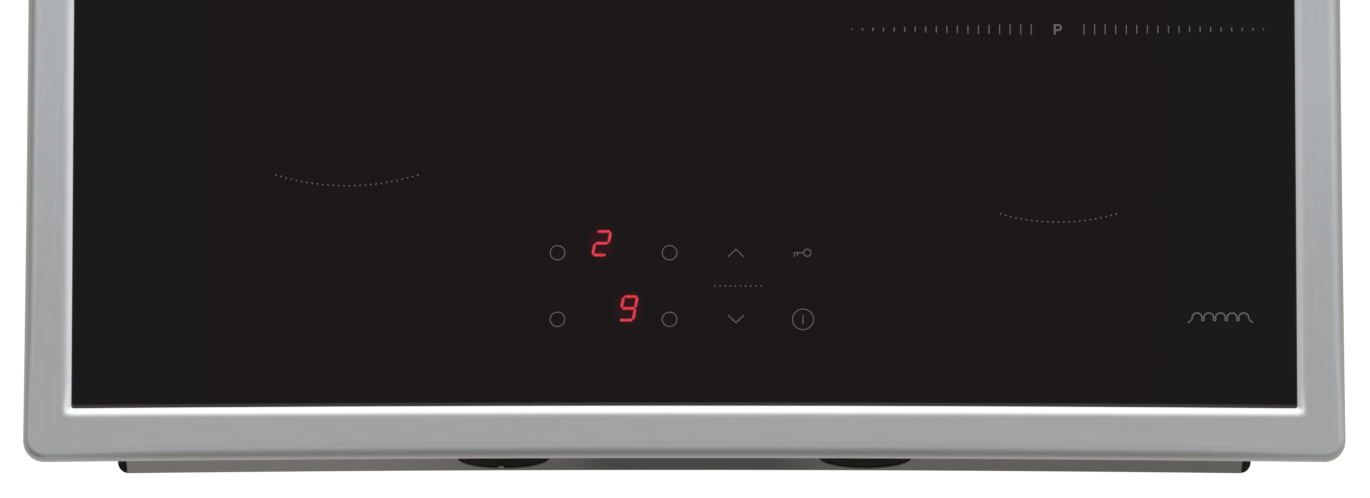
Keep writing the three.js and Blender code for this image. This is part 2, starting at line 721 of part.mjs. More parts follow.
// ---------------------------------------------------------------- touch controls under the glass
function controlHolder() {
  const outer = roundedBlock(CONTROL_WIDTH, CONTROL_DEPTH, 10, 4);
  const inner = roundedBlock(CONTROL_WIDTH - 4, CONTROL_DEPTH - 4, 20, 3).translate(0, 0, 2);
  const feet = [-1, 1].flatMap((sx) => [-1, 1].map((sy) =>
    disc(4, COIL_PLATE_Z + COIL_PLATE_THICKNESS + GAP - CONTROL_Z, 1, 12).translate(sx * 90, sy * 31, 0),
  ));
  const rests = [-1, 1].map((sx) => box(sx * 60 - 4, sx * 60 + 4, -30, 30, 1, 4.7));
  return join(cut(outer, inner), ...feet, ...rests);
}

place('control_holder', controlHolder(), GREY_PLASTIC, 0, CONTROL_Y, CONTROL_Z);
const controlBoard = roundedBlock(CONTROL_WIDTH - 6, CONTROL_DEPTH - 6, BOARD_THICKNESS, 3);
place('control_board', controlBoard, CIRCUIT_GREEN, 0, CONTROL_Y, CONTROL_BOARD_Z);
[['rear', DISPLAY_Y[0]], ['front', DISPLAY_Y[1]]].forEach(([rowName, y]) => {
  [['left', DISPLAY_X[0]], ['right', DISPLAY_X[1]]].forEach(([columnName, x]) => {
    const module = roundedBlock(10.6, 17, 3.6, 0.6);
    const z = CONTROL_BOARD_Z + BOARD_THICKNESS + GAP;
    place(`display_${rowName}_${columnName}`, module, DISPLAY_BLACK, x, y, z);
  });
});

function controlCable() {
  // A flat ribbon from under the control holder down to the right-hand power board.
  const curve = new THREE.SplineCurve([
    new THREE.Vector2(-160, 39.2),
    new THREE.Vector2(-136, 38.6),
    new THREE.Vector2(-130, 30),
    new THREE.Vector2(-122, 15),
    new THREE.Vector2(-96, 12.5),
  ]);
  const strip = slab(stripOutline(curve, 0.8, 14), 0, 26);
  // The outline's X runs along the object's Y and its Y up the object's Z.
  const toObject = new THREE.Matrix4().makeBasis(
    new THREE.Vector3(0, 1, 0),
    new THREE.Vector3(0, 0, 1),
    new THREE.Vector3(1, 0, 0),
  );
  return strip.applyMatrix4(toObject);
}

place('control_cable', controlCable(), GREY_PLASTIC, CABLE_SLOT.x0 + 5, 0, 0);

export default cooktop;
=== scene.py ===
# Framed built-in induction cooktop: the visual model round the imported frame.
import json
import math
import bmesh
import bpy
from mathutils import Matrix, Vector


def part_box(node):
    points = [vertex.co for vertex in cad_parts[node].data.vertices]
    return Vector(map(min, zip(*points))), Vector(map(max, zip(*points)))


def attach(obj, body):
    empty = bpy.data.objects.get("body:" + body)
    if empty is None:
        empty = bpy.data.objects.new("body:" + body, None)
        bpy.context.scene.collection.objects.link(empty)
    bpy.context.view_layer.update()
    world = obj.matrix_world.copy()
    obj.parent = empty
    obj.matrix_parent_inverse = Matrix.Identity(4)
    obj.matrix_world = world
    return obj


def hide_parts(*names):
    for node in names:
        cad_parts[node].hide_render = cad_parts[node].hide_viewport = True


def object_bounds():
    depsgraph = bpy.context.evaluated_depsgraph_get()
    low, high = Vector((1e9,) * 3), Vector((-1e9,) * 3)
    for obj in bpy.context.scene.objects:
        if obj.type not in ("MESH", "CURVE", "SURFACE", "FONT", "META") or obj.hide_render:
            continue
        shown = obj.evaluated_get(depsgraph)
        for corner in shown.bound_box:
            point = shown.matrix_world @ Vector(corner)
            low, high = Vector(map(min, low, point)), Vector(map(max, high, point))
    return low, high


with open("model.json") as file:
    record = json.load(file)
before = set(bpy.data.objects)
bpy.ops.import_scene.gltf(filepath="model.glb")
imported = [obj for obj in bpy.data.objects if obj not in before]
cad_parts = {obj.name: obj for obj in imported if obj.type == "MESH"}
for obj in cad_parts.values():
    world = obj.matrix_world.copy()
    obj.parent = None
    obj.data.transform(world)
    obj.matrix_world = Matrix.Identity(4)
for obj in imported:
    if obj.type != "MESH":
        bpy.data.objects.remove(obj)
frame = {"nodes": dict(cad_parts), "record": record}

cad_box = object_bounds()

MM = 0.001
ROOT = "hob"

# ---------------------------------------------------------------- places taken from the frame
GLASS_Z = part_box("glass_top")[1].z
FRAME_LOW, FRAME_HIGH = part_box("surround_frame")
TRAY_LOW, TRAY_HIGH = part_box("tray_base")
PLATE_LOW, PLATE_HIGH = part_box("front_plate")
VENTS = frame["record"]["physics"]["openings"][:2]
ZONES = ("front_left", "rear_left", "front_right", "rear_right")
SIDES = {"left": -1, "right": 1}
CLIP_NODES = {f"spring_clip_{side}_{end}": f"clip_{side}_{end}"
              for side in SIDES for end in ("front", "rear")}

# ---------------------------------------------------------------- driving dimensions
# The surround's lip is the outline of the glass that shows.
LIP_HALF_WIDTH = 270.33 * MM
LIP_HALF_DEPTH = 233.1 * MM
LIP_BOW = 1.2 * MM  # how far the front and rear lips are drawn in at the middle
LIP_CORNER = 1.2 * MM
SLOPE_WIDTH = 4.9 * MM
SIDE_POLISH_AND_HIGHLIGHT = 0.28  # how much narrower the polished part of the slope, with its painted highlight, is along the sides
BEAD_SIDE = 0.45 * MM
BEAD_FRONT = 1.7 * MM

SURROUND_SHEET = 1.0 * MM
EDGE_ROLL = 4.0 * MM
EDGE_CORNER = 9.4 * MM
# How far the sides and the front are drawn in at the middle, at the skirt and at the fold.
SKIRT_BOW = (1.0 * MM, 1.9 * MM)
FOLD_BOW = (2.1 * MM, 3.0 * MM)
SIDE_SWELL = 1.3 * MM
FRONT_SWELL = 1.75 * MM

PLATE_SHEET = 0.6 * MM
PLATE_BOW = 1.5 * MM
VENT_RADIUS = 20.4 * MM
VENT_DROP = 1.4 * MM  # the round holes sit a little below the middle of the plate

TRAY_WALL_X = 251.0 * MM
WIRE_PITCH = 2.2 * MM

PRINT_Z = GLASS_Z + 0.005 * MM
PRINT_RISE = 0.045 * MM
# The digits' centres are in millimetres, like every outline that is printed on the glass.
LIT_DIGITS = ((-36.5, -158.0), (-24.7, -187.6))


# ---------------------------------------------------------------- shader maths as expressions
class Sig:
    """One socket of a node tree, with arithmetic that adds Math nodes."""

    def __init__(self, tree, socket):
        self.tree = tree
        self.socket = socket

    def node(self, kind, settings=None, inputs=None, out=0):
        """A new node: its settings first, then the values or links of its sockets."""
        item = self.tree.nodes.new(kind)
        for name, value in (settings or {}).items():
            setattr(item, name, value)
        for name, value in (inputs or {}).items():
            if isinstance(value, Sig):
                self.tree.links.new(value.socket, item.inputs[name])
            else:
                item.inputs[name].default_value = value
        return Sig(self.tree, item.outputs[out])

    def maths(self, operation, *values, clamp=False):
        inputs = dict(enumerate(values))
        return self.node("ShaderNodeMath", {"operation": operation, "use_clamp": clamp}, inputs)

    def __add__(self, other):
        return self.maths("ADD", self, other)

    __radd__ = __add__

    def __sub__(self, other):
        return self.maths("SUBTRACT", self, other)

    def __rsub__(self, other):
        return self.maths("SUBTRACT", other, self)

    def __mul__(self, other):
        return self.maths("MULTIPLY", self, other)

    __rmul__ = __mul__

    def __truediv__(self, other):
        return self.maths("DIVIDE", self, other)

    def __pow__(self, other):
        return self.maths("POWER", self, other)

    def __gt__(self, other):
        return self.maths("GREATER_THAN", self, other)

    def __abs__(self):
        return self.maths("ABSOLUTE", self)

    def sine(self):
        return self.maths("SINE", self)

    def fraction(self):
        return self.maths("FRACT", self)

    def most(self, other):
        return self.maths("MAXIMUM", self, other)

    def clamp(self):
        return self.maths("ADD", self, 0.0, clamp=True)

    def ramp(self, low, high):
        """A smooth rise from 0 at `low` to 1 at `high`."""
        inputs = {"Value": self, 1: low, 2: high, 3: 0.0, 4: 1.0}
        return self.node("ShaderNodeMapRange", {"interpolation_type": "SMOOTHSTEP"}, inputs)

    def axes(self):
        split = self.node("ShaderNodeSeparateXYZ", None, {0: self})
        outputs = split.socket.node.outputs
        return [Sig(self.tree, outputs[i]) for i in range(3)]

    def scaled(self, factors):
        return self.node("ShaderNodeVectorMath", {"operation": "MULTIPLY"}, {0: self, 1: factors})

    def noise(self, scale, detail=3.0, rough=0.55):
        inputs = {"Vector": self, "Scale": scale, "Detail": detail, "Roughness": rough}
        return self.node("ShaderNodeTexNoise", None, inputs)

    def cells(self, scale):
        return self.node("ShaderNodeTexVoronoi", None, {"Vector": self, "Scale": scale})

    def blend(self, first, second):
        """A colour between two colours, with this value as the factor."""
        inputs = {0: self, 6: colour(first), 7: colour(second)}
        return self.node("ShaderNodeMix", {"data_type": "RGBA"}, inputs, out=2)


def colour(value):
    if isinstance(value, Sig):
        return value
    return (*value, 1.0)


FINISHES = {}


def finish(name, metallic, roughness, **sockets):
    """A new material; returns its shader and the object's coordinates."""
    material = bpy.data.materials.new(name)
    material.use_nodes = True
    tree = material.node_tree
    shader = tree.nodes["Principled BSDF"]
    shader.inputs["Metallic"].default_value = metallic
    shader.inputs["Roughness"].default_value = roughness
    for socket, value in sockets.items():
        shader.inputs[socket.replace("_", " ")].default_value = value
    FINISHES[name] = material
    return shader, Sig(tree, tree.nodes.new("ShaderNodeTexCoord").outputs["Object"])


def feed(shader, name, sig):
    sig.tree.links.new(sig.socket, shader.inputs[name])


def relief(shader, height, strength, distance=0.2 * MM):
    """Small bumps that follow `height`."""
    inputs = {"Height": height, "Strength": strength, "Distance": distance}
    feed(shader, "Normal", height.node("ShaderNodeBump", None, inputs))


# ---------------------------------------------------------------- finishes
def satin_steel():
    """Rolled steel: a satin brush along each bar, a polished slope round the glass with a painted
    highlight, and painted shade on the rolled outer edge.
    """
    shader, place = finish("satin_steel", 1.0, 0.4)
    x, y, z = place.axes()
    past_side = abs(x) - LIP_HALF_WIDTH
    past_end = abs(y) - LIP_HALF_DEPTH
    past = past_side.most(past_end)
    on_side = past_side > past_end

    def along_bars(lengthwise, crosswise, upward, detail):
        """Noise drawn out along each bar of the surround, whichever way the bar runs."""
        on_front = place.scaled((lengthwise, crosswise, upward)).noise(1.0, detail, 0.6)
        beside = place.scaled((crosswise, lengthwise, upward)).noise(1.0, detail, 0.6)
        return on_front + on_side * (beside - on_front)

    brush = along_bars(60.0, 2400.0, 900.0, 4.0)
    streak = along_bars(14.0, 620.0, 300.0, 3.0)
    drift = place.noise(9.0, 2.0)
    tone = ((brush - 0.5) * 0.5 + (streak - 0.5) * 0.3 + (drift - 0.5) * 0.15 + 0.5).clamp()
    # The flat is a little darker towards the front edge.
    near = tone.blend((0.405, 0.417, 0.429), (0.577, 0.589, 0.605))
    far = tone.blend((0.466, 0.482, 0.498), (0.664, 0.681, 0.702))
    satin = y.ramp(-215 * MM, -55 * MM).blend(near, far)
    # Painted shade: the rolled outer edge is darker, and on the left so is the shoulder above it.
    top = FRAME_HIGH.z
    rolled = (past > 2 * SLOPE_WIDTH) * z.ramp(top - 0.2 * MM, top - 2.2 * MM)
    left_roll_shade = x.ramp(-279 * MM, -283 * MM) * z.ramp(top - 0.08 * MM, top - 1.3 * MM)
    shaded = tone.blend((0.27, 0.26, 0.248), (0.37, 0.36, 0.344))
    outside = rolled.most(left_roll_shade * 0.9).blend(satin, shaded)
    # Painted highlight: the slope is polished, and its base colour is also painted near white, narrower
    # along the sides.
    narrowed = (past_side - past_end).ramp(0.0, 3 * SLOPE_WIDTH) * SIDE_POLISH_AND_HIGHLIGHT
    polish_and_highlight = (past / SLOPE_WIDTH + narrowed).ramp(1.0, 0.35)
    feed(shader, "Base Color", polish_and_highlight.blend(outside, (0.80, 0.805, 0.82)))
    feed(shader, "Roughness", brush * 0.10 + drift * 0.04 + 0.41 - polish_and_highlight * 0.18)
    relief(shader, brush * 0.7 + streak * 0.3, 0.10, 0.05 * MM)


def black_glass():
    """Polished glass-ceramic, black all through, with a painted glow of the red of the lit digits
    inside it.
    """
    shader, place = finish("black_glass", 0.0, 0.05, IOR=1.45, Emission_Strength=1.0)
    x, y, _ = place.axes()
    body = place.noise(5.0, 3.0).blend((0.0048, 0.0020, 0.0031), (0.0064, 0.0033, 0.0044))
    towards_sides = (abs(x) - 170 * MM).ramp(20 * MM, 100 * MM)
    feed(shader, "Base Color", (towards_sides * 0.5).blend(body, (0.0062, 0.0055, 0.0047)))
    feed(shader, "Roughness", place.noise(14.0, 4.0) * 0.05 + 0.035)
    # Painted glow: the glass gives off a faint red light round each lit digit.
    glow_half_width, glow_half_height = 6.5 * MM, 8.5 * MM
    glow = None
    for digit_x, digit_y in LIT_DIGITS:
        away_x = (x - digit_x * MM) / glow_half_width
        away_y = (y - digit_y * MM) / glow_half_height
        near = (1.0 - (away_x * away_x + away_y * away_y) ** 0.5).ramp(-0.15, 0.5)
        glow = near if glow is None else glow.most(near)
    feed(shader, "Emission Color", glow.blend((0.0, 0.0, 0.0), (0.016, 0.0, 0.0012)))


def printed_grey():
    """Fired ceramic ink: matt, a little uneven."""
    shader, place = finish("printed_grey", 0.0, 0.6)
    patch = place.noise(900.0, 3.0)
    feed(shader, "Base Color", patch.blend((0.135, 0.13, 0.135), (0.19, 0.184, 0.19)))
    feed(shader, "Roughness", patch * 0.2 + 0.5)


def lit_red(name, dim, bright):
    """Light of a display segment, a little uneven along its length."""
    shader, place = finish(name, 0.0, 0.4, Emission_Strength=1.0)
    grain = place.noise(700.0, 2.0)
    feed(shader, "Base Color", grain.blend((0.25, 0.004, 0.012), (0.3, 0.006, 0.016)))
    feed(shader, "Emission Color", grain.ramp(0.3, 0.7).blend(dim, bright))


def zinc_sheet():
    """Dull zinc-coated sheet with a faint spangle, painted paler towards its ends as a painted
    reflection.
    """
    shader, place = finish("galvanised_sheet", 0.0, 0.62, Specular_IOR_Level=0.04)
    x, _, _ = place.axes()
    leftward = x * -1.0
    spangle = place.scaled((1.0, 1.0, 1.6)).cells(170.0)
    cloud = place.noise(22.0, 4.0)
    # Painted reflection: the colour is paler towards the ends of the sheet, most on the left.
    left = leftward.ramp(30 * MM, 60 * MM) * 0.05 + leftward.ramp(50 * MM, 160 * MM) * 0.08
    right = x.ramp(30 * MM, 85 * MM) * 0.07
    tone = left + right + (spangle - 0.5) * 0.01 + (cloud - 0.5) * 0.014 + 0.046
    feed(shader, "Base Color", tone.clamp().blend((0.0, 0.0, 0.0), (1.0, 0.985, 0.965)))
    feed(shader, "Roughness", cloud * 0.14 + spangle * 0.05 + 0.5)
    relief(shader, cloud + spangle * 0.3, 0.1)


def bead_line():
    """Warm dark sealant, paler towards the steel."""
    shader, place = finish("bead", 0.0, 0.6)
    x, y, _ = place.axes()
    share = x / LIP_HALF_WIDTH
    lip = LIP_HALF_DEPTH - LIP_BOW * (1.0 - share * share)
    fade = (lip - abs(y)).ramp(BEAD_FRONT, 0.0)
    grain = place.noise(500.0, 3.0) * 0.3
    tone = (fade * 0.85 + grain).clamp()
    feed(shader, "Base Color", tone.blend((0.006, 0.005, 0.004), (0.037, 0.031, 0.023)))
    feed(shader, "Roughness", grain + 0.5)
    relief(shader, grain, 0.1, 0.1 * MM)


def moulded(name, dark, pale, rough, grain=1400.0, specular=0.5, depth=0.12):
    """Moulded plastic: a fine eroded grain over a slow drift of tone."""
    shader, place = finish(name, 0.0, rough, Specular_IOR_Level=specular)
    fine = place.noise(grain, 3.0, 0.6)
    drift = place.noise(12.0, 2.0)
    feed(shader, "Base Color", (fine * 0.4 + drift * 0.6).blend(dark, pale))
    feed(shader, "Roughness", fine * 0.16 + rough - 0.08)
    relief(shader, fine, depth, 0.1 * MM)


def tray_plastic():
    """The tray's black plastic: dull at the front corners, with a faint sheen further back, and painted
    paler inside its walls as painted light.
    """
    shader, place = finish("black_plastic", 0.0, 0.7, Specular_IOR_Level=0.0, Coat_Roughness=0.34)
    x, y, z = place.axes()
    fine = place.noise(1400.0, 3.0, 0.6)
    drift = place.noise(12.0, 2.0)
    tone = fine * 0.4 + drift * 0.6
    # Painted light: inside the walls, where little light reaches, the plastic is painted paler.
    inside = (y > TRAY_LOW.y + 2 * MM) * (z > 2 * MM) * (abs(x) - 245 * MM).ramp(1 * MM, 0.0)
    outer_tone = tone.blend((0.0045, 0.0045, 0.005), (0.009, 0.009, 0.010))
    inner_painted_light_tone = tone.blend((0.036, 0.037, 0.033), (0.054, 0.055, 0.050))
    feed(shader, "Base Color", inside.blend(outer_tone, inner_painted_light_tone))
    feed(shader, "Roughness", fine * 0.16 + 0.62)
    sheen = y.ramp(TRAY_LOW.y + 6 * MM, TRAY_LOW.y + 26 * MM)
    feed(shader, "Coat Weight", sheen * 0.5 + drift * 0.05)
    relief(shader, fine, 0.12, 0.1 * MM)


def bare_metal(name, dark, pale, rough):
    """Rolled or drawn metal with grain along one direction."""
    shader, place = finish(name, 1.0, rough)
    grain = place.scaled((30.0, 1500.0, 400.0)).noise(1.0, 3.0)
    drift = place.noise(25.0, 3.0)
    feed(shader, "Base Color", (grain * 0.5 + drift * 0.5).blend(dark, pale))
    feed(shader, "Roughness", grain * 0.12 + drift * 0.1 + rough - 0.1)
    relief(shader, grain, 0.08, 0.05 * MM)


def winding_wire():
    """Enamelled copper wound in rings about each zone's centre."""
    shader, place = finish("copper_wire", 0.85, 0.38)
    x, y, _ = place.axes()
    strands = None
    for zone in ZONES:
        low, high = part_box(f"coil_winding_{zone}")
        middle = (low + high) / 2
        across = x - middle.x
        along = y - middle.y
        turns = ((across * across + along * along) ** 0.5) * (2 * math.pi / WIRE_PITCH)
        outside = abs(across).most(abs(along)) > (high.x - low.x) / 2
        wave = (turns.sine() * 0.5 + 0.5) * (1.0 - outside)
        strands = wave if strands is None else strands.most(wave)
    drift = place.noise(60.0, 3.0)
    tone = strands * 0.75 + drift * 0.25
    feed(shader, "Base Color", tone.blend((0.16, 0.045, 0.018), (0.62, 0.24, 0.10)))
    feed(shader, "Roughness", drift * 0.15 + 0.3)
    relief(shader, strands, 0.5, 0.6 * MM)


def circuit_board():
    """Green solder mask over copper tracks that run both ways, with tinned joints."""
    shader, place = finish("circuit_board", 0.0, 0.38)
    x, y, _ = place.axes()
    track_pitch = 2.54 * MM

    def tracks_across(distance):
        """Stripes one pitch apart, each about a fifth of the pitch wide."""
        return abs((distance / track_pitch).fraction() - 0.5).ramp(0.14, 0.08)

    patch = place.noise(45.0, 1.0).ramp(0.49, 0.51)
    tracks = tracks_across(y) * patch + tracks_across(x) * (1.0 - patch)
    joints = place.scaled((1.0, 1.0, 0.0)).cells(190.0).ramp(0.16, 0.12)
    drift = place.noise(30.0, 2.0)
    green = drift.blend((0.008, 0.075, 0.03), (0.014, 0.11, 0.045))
    mask = (tracks * 0.5).blend(green, (0.03, 0.19, 0.085))
    feed(shader, "Base Color", joints.blend(mask, (0.55, 0.56, 0.57)))
    feed(shader, "Metallic", joints)
    feed(shader, "Roughness", drift * 0.1 + 0.32)
    relief(shader, tracks * 0.4 + joints, 0.3)


def make_finishes():
    """Every finish once; those of carried-over nodes are named for their slots."""
    satin_steel()
    black_glass()
    printed_grey()
    lit_red("lit_core", (0.52, 0.012, 0.028), (0.68, 0.034, 0.066))
    lit_red("lit_edge", (0.16, 0.0, 0.004), (0.26, 0.0, 0.008))
    zinc_sheet()
    winding_wire()
    circuit_board()
    tray_plastic()
    moulded("grey_plastic", (0.13, 0.135, 0.14), (0.18, 0.185, 0.19), 0.5)
    moulded("white_plastic", (0.55, 0.55, 0.5), (0.66, 0.66, 0.62), 0.45)
    bead_line()
    moulded("silicone", (0.016, 0.016, 0.017), (0.026, 0.026, 0.027), 0.7, 500.0)
    moulded("seal_foam", (0.022, 0.022, 0.023), (0.045, 0.045, 0.047), 0.9, 1800.0, 0.2, 0.5)
    moulded("component_black", (0.008, 0.008, 0.009), (0.014, 0.014, 0.015), 0.35, 2000.0)
    moulded("capacitor_blue", (0.02, 0.05, 0.16), (0.028, 0.07, 0.21), 0.35, 1200.0)
    bare_metal("spring_steel", (0.42, 0.43, 0.45), (0.62, 0.63, 0.65), 0.34)
    bare_metal("aluminium_sheet", (0.62, 0.63, 0.64), (0.8, 0.81, 0.82), 0.42)


def dress_all():
    """Give every carried-over node the finish of its slot."""
    for row in frame["record"]["subparts"]:
        materials = frame["nodes"][row["node"]].data.materials
        materials.clear()
        materials.append(FINISHES[row["material_slot"]])


# ---------------------------------------------------------------- mesh helpers
def keep(mesh, name, material, body=ROOT, smooth_angle=None):
    """Link a bmesh as a piece, dress it, ride it on its body and return it."""
    bmesh.ops.recalc_face_normals(mesh, faces=mesh.faces)
    data = bpy.data.meshes.new(name)
    if smooth_angle is not None:
        limit = math.radians(smooth_angle)
        for face in mesh.faces:
            face.smooth = True
        for edge in mesh.edges:
            edge.smooth = len(edge.link_faces) == 2 and edge.calc_face_angle(0.0) < limit
    mesh.to_mesh(data)
    mesh.free()
    piece = bpy.data.objects.new(name, data)
    bpy.context.scene.collection.objects.link(piece)
    data.materials.append(FINISHES[material])
    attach(piece, body)
    return piece


def loft(mesh, loops, closed=True):
    """Skin loops of equal length, then join the last to the first or cap both ends."""
    rings = [[mesh.verts.new(point) for point in loop] for loop in loops]
    pairs = list(zip(rings, rings[1:]))
    if closed:
        pairs.append((rings[-1], rings[0]))
    for low, high in pairs:
        for i in range(len(low)):
            j = (i + 1) % len(low)
            mesh.faces.new((low[i], low[j], high[j], high[i]))
    if not closed:
        mesh.faces.new(rings[0])
        mesh.faces.new(rings[-1])


def block(mesh, low, high):
    """A box between two opposite corners."""
    corners = [(x, y, z) for z in (low[2], high[2]) for y in (low[1], high[1])
               for x in (low[0], high[0])]
    verts = [mesh.verts.new(corner) for corner in corners]
    for quad in ((0, 2, 3, 1), (4, 5, 7, 6), (0, 1, 5, 4), (2, 6, 7, 3), (0, 4, 6, 2), (1, 3, 7, 5)):
        mesh.faces.new([verts[i] for i in quad])


def prism(mesh, points, bottom, top):
    """A flat shape of straight sides between two heights."""
    low = [mesh.verts.new((x, y, bottom)) for x, y in points]
    high = [mesh.verts.new((x, y, top)) for x, y in points]
    mesh.faces.new(low[::-1])
    mesh.faces.new(high)
    for i in range(len(points)):
        j = (i + 1) % len(points)
        mesh.faces.new((low[i], low[j], high[j], high[i]))


def turned(mesh, profile, middle, segments, axis):
    """Turn pairs of radius and height about an axis through `middle`, and cap both ends."""
    loops = []
    for radius, height in profile:
        loop = []
        for i in range(segments):
            angle = 2 * math.pi * i / segments
            u, v = radius * math.cos(angle), radius * math.sin(angle)
            offset = {"Z": (u, v, height), "Y": (v, height, u), "X": (height, u, v)}[axis]
            loop.append(Vector(middle) + Vector(offset))
        loops.append(loop)
    loft(mesh, loops, closed=False)


def round_bar(middle, radius, reach, segments=96):
    """A closed round bar that reaches both ways along Y."""
    mesh = bmesh.new()
    turned(mesh, ((radius, -reach), (radius, reach)), middle, segments, "Y")
    return mesh


def arc(x, y, radius, start, stop, steps):
    """Points of an arc; angles in degrees."""
    points = []
    for i in range(steps + 1):
        angle = math.radians(start + (stop - start) * i / steps)
        points.append((x + radius * math.cos(angle), y + radius * math.sin(angle)))
    return points


def circle(x, y, radius, sides):
    return arc(x, y, radius, 0, 360 - 360 / sides, sides - 1)


# ---------------------------------------------------------------- cutting and rounding
def settle(piece):
    """Apply the piece's modifiers to its mesh."""
    shape = piece.evaluated_get(bpy.context.evaluated_depsgraph_get())
    data = bpy.data.meshes.new_from_object(shape)
    piece.modifiers.clear()
    piece.data = data


def carve(piece, cutters):
    """Cut the shapes of the meshes in `cutters` out of a piece, for good."""
    for cutter in cutters:
        bmesh.ops.recalc_face_normals(cutter, faces=cutter.faces)
        data = bpy.data.meshes.new("cutter")
        cutter.to_mesh(data)
        cutter.free()
        tool = bpy.data.objects.new("cutter", data)
        bpy.context.scene.collection.objects.link(tool)
        boolean = piece.modifiers.new("cut", "BOOLEAN")
        boolean.operation = "DIFFERENCE"
        boolean.solver = "EXACT"
        boolean.object = tool
        settle(piece)
        bpy.data.objects.remove(tool)


def soften(piece, width, angle=40):
    """Round every sharp edge a little."""
    bevel = piece.modifiers.new("soft_edge", "BEVEL")
    bevel.width = width
    bevel.segments = 2
    bevel.limit_method = "ANGLE"
    bevel.angle_limit = math.radians(angle)
    bevel.harden_normals = True


def rounded_copy(node, name, width):
    """A copy of a node's solid with its sharp edges rounded, which stands for the node."""
    piece = bpy.data.objects.new(name, frame["nodes"][node].data.copy())
    bpy.context.scene.collection.objects.link(piece)
    soften(piece, width, 50)
    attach(piece, ROOT)
    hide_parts(node)


# ---------------------------------------------------------------- the pressed surround
def bowed_loop(half_width, half_depth, corner, side_bow, front_bow, z, side_swell=0.0, front_swell=0.0):
    """One level line of the surround: a rounded rectangle with sides drawn in at the middle.

    The swells draw the sides in a little more, all at once, just past the corners.
    """
    side_steps, corner_steps = 32, 14
    swell_share = 0.22  # the part of a half side over which a swell comes in
    loop = []
    flat_x, flat_y = half_width - corner, half_depth - corner
    turns = ((flat_x, -flat_y, -90, 1, 0), (flat_x, flat_y, 0, 0, 1),
             (-flat_x, flat_y, 90, -1, 0), (-flat_x, -flat_y, 180, 0, -1))
    for corner_x, corner_y, start, way_x, way_y in turns:
        length = flat_x if way_x else flat_y
        bow, swell = (front_bow, front_swell) if way_x else (side_bow, side_swell)
        for i in range(side_steps):
            share = 2 * i / side_steps - 1
            past_corner = min(1.0, (1 - abs(share)) / swell_share)
            inward = bow * (1 - share * share) + swell * past_corner ** 2 * (3 - 2 * past_corner)
            if way_x:
                point = (way_x * share * length, -way_x * (half_depth - inward))
            else:
                point = (way_y * (half_width - inward), way_y * share * length)
            loop.append((*point, z))
        for x, y in arc(corner_x, corner_y, corner, start, start + 90, corner_steps)[:-1]:
            loop.append((x, y, z))
    return loop


def surround():
    """Pressed sheet: skirt, rolled outer edge, flat band, and a slope that rolls down to the lip."""
    top, foot = FRAME_HIGH.z, FRAME_LOW.z
    sheet, roll, slope = SURROUND_SHEET, EDGE_ROLL, SLOPE_WIDTH
    hem = 0.25 * MM  # chamfer at the foot of the skirt
    clearance = 0.02 * MM  # between the lip and the glass
    lip_height = 0.25 * MM

    def outer(share, inset, z):
        """Between the skirt (share 0) and the fold into the flat (share 1)."""
        side = SKIRT_BOW[0] + share * (FOLD_BOW[0] - SKIRT_BOW[0])
        front = SKIRT_BOW[1] + share * (FOLD_BOW[1] - SKIRT_BOW[1])
        corner_inset = inset * (1 - share * 0.2)
        return bowed_loop(FRAME_HIGH.x - corner_inset, FRAME_HIGH.y - corner_inset,
                          EDGE_CORNER - 0.55 * corner_inset, side, front, z,
                          SIDE_SWELL * share, FRONT_SWELL * share)

    def inner(outset, z):
        """A line round the lip, moved outwards."""
        return bowed_loop(LIP_HALF_WIDTH + outset, LIP_HALF_DEPTH + outset,
                          LIP_CORNER + 0.75 * outset, 0.0, LIP_BOW, z)

    loops = [outer(0.0, sheet, foot), outer(0.0, hem, foot), outer(0.0, 0.0, foot + hem)]
    loops.append(outer(0.0, 0.0, top - roll))
    roll_steps = 10
    for i in range(1, roll_steps + 1):
        angle = math.pi / 2 * i / roll_steps
        inset = roll * (1 - math.cos(angle))
        loops.append(outer(i / roll_steps, inset, top - roll + roll * math.sin(angle)))
    loops.append(outer(1.0, roll + 1.2 * MM, top))
    loops.append(inner(slope + 1.0 * MM, top))
    # The slope is an arc that leaves the flat smoothly and meets the glass steeply.
    drop = top - (GLASS_Z + lip_height)
    sweep = 2 * math.atan2(drop, slope)
    radius = slope / math.sin(sweep)
    slope_steps = 9
    for i in range(slope_steps + 1):
        angle = sweep * i / slope_steps
        loops.append(inner(slope - radius * math.sin(angle), top - radius * (1 - math.cos(angle))))
    loops.append(inner(clearance, GLASS_Z + clearance))
    # The underside of the sheet, back to the foot of the skirt.
    loops.append(inner(slope + 1.5 * MM, GLASS_Z + clearance))
    loops.append(inner(slope + 3.0 * MM, top - sheet))
    loops.append(outer(0.6, roll + 0.5 * MM, top - sheet))
    loops.append(outer(0.0, sheet, top - roll))
    mesh = bmesh.new()
    loft(mesh, loops)
    piece = keep(mesh, "surround_sheet", "satin_steel", smooth_angle=32)
    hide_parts("surround_frame")


def glass_bead():
    """A thin line of sealant where the glass meets the slope, widest along the front and back."""
    mesh = bmesh.new()
    loops = []
    # Share of the way from the lip to the bead's inner edge, and height above the glass in mm.
    for share, rise in ((0.0, 0.01), (0.0, 0.10), (0.5, 0.09), (1.0, 0.03), (1.0, 0.01)):
        half_width = LIP_HALF_WIDTH - share * BEAD_SIDE
        half_depth = LIP_HALF_DEPTH - share * BEAD_FRONT
        loops.append(bowed_loop(half_width, half_depth, 1.0 * MM, 0.0, LIP_BOW, GLASS_Z + rise * MM))
    loft(mesh, loops)
    keep(mesh, "glass_bead", "bead", smooth_angle=60)


# ---------------------------------------------------------------- front plate
def plate_face(x):
    """Where the plate's outer face is: drawn in a little at the middle."""
    share = x / PLATE_HIGH.x
    return PLATE_LOW.y + PLATE_BOW * (1 - share * share)


def vent_middle(vent):
    low, high = Vector(vent["box_m"][0]), Vector(vent["box_m"][1])
    return (low + high) / 2 - Vector((0, 0, VENT_DROP))


